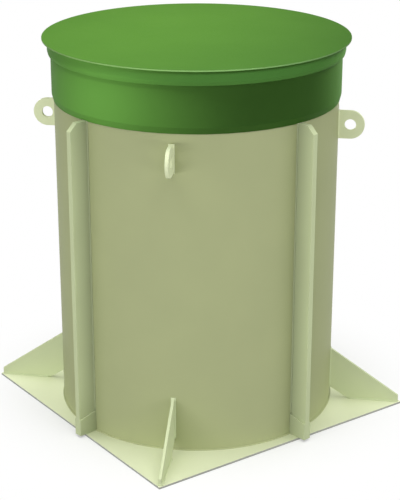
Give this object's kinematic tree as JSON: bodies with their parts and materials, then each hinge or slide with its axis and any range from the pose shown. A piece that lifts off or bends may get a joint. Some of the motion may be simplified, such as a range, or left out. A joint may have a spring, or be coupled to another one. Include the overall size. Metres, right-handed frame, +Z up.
{
  "type": "well caisson",
  "caption": "Round plastic well caisson: welded shell on a square anchoring base with corner gussets, upright ribs and lifting eyes, closed by a lift-off green lid.",
  "frame": {"origin": "centre of the base plate's underside, on the caisson's upright axis", "axes": "+Z up along the shell's axis; X and Y parallel to the sides of the square base; front is -Y"},
  "size_m": [1.1392, 1.1392, 1.363],
  "materials": {
    "body_sheet": "satin olive-beige polypropylene sheet, rolled and welded",
    "brace_sheet": "satin pale olive polypropylene sheet, sawn and welded",
    "pale_sheet": "satin pale cream polypropylene sheet, sawn edges",
    "green_sheet": "satin leaf-green polypropylene sheet"
  },
  "bodies": {
    "caisson": {"base_plate": "pale_sheet", "casing_sleeve": "body_sheet", "body_wall_right_back": "body_sheet", "body_wall_back_right": "body_sheet", "body_wall_back_left": "body_sheet", "body_wall_left_back": "body_sheet", "body_wall_left_front": "body_sheet", "body_wall_front_left": "body_sheet", "body_wall_front_right": "body_sheet", "body_wall_right_front": "body_sheet", "neck_band_right_back": "green_sheet", "neck_band_back_right": "green_sheet", "neck_band_back_left": "green_sheet", "neck_band_left_back": "green_sheet", "neck_band_left_front": "green_sheet", "neck_band_front_left": "green_sheet", "neck_band_front_right": "green_sheet", "neck_band_right_front": "green_sheet", "rib_right": "brace_sheet", "rib_foot_right": "brace_sheet", "rib_back": "brace_sheet", "rib_foot_back": "brace_sheet", "rib_left": "brace_sheet", "rib_foot_left": "brace_sheet", "rib_front": "brace_sheet", "rib_foot_front": "brace_sheet", "corner_gusset_back_right": "brace_sheet", "lifting_lug_back_right": "pale_sheet", "corner_gusset_back_left": "brace_sheet", "lifting_lug_back_left": "pale_sheet", "corner_gusset_front_left": "brace_sheet", "lifting_lug_front_left": "pale_sheet", "corner_gusset_front_right": "brace_sheet", "lifting_lug_front_right": "pale_sheet"},
    "lid": {"lid_disc": "green_sheet", "lid_skirt_right_back": "green_sheet", "lid_skirt_back_right": "green_sheet", "lid_skirt_back_left": "green_sheet", "lid_skirt_left_back": "green_sheet", "lid_skirt_left_front": "green_sheet", "lid_skirt_front_left": "green_sheet", "lid_skirt_front_right": "green_sheet", "lid_skirt_right_front": "green_sheet"}
  },
  "joints": [
    {"name": "lid_lift", "type": "slide", "parent": "caisson", "child": "lid", "axis": [0, 0, 1], "range_m": [0, 0.4]}
  ]
}
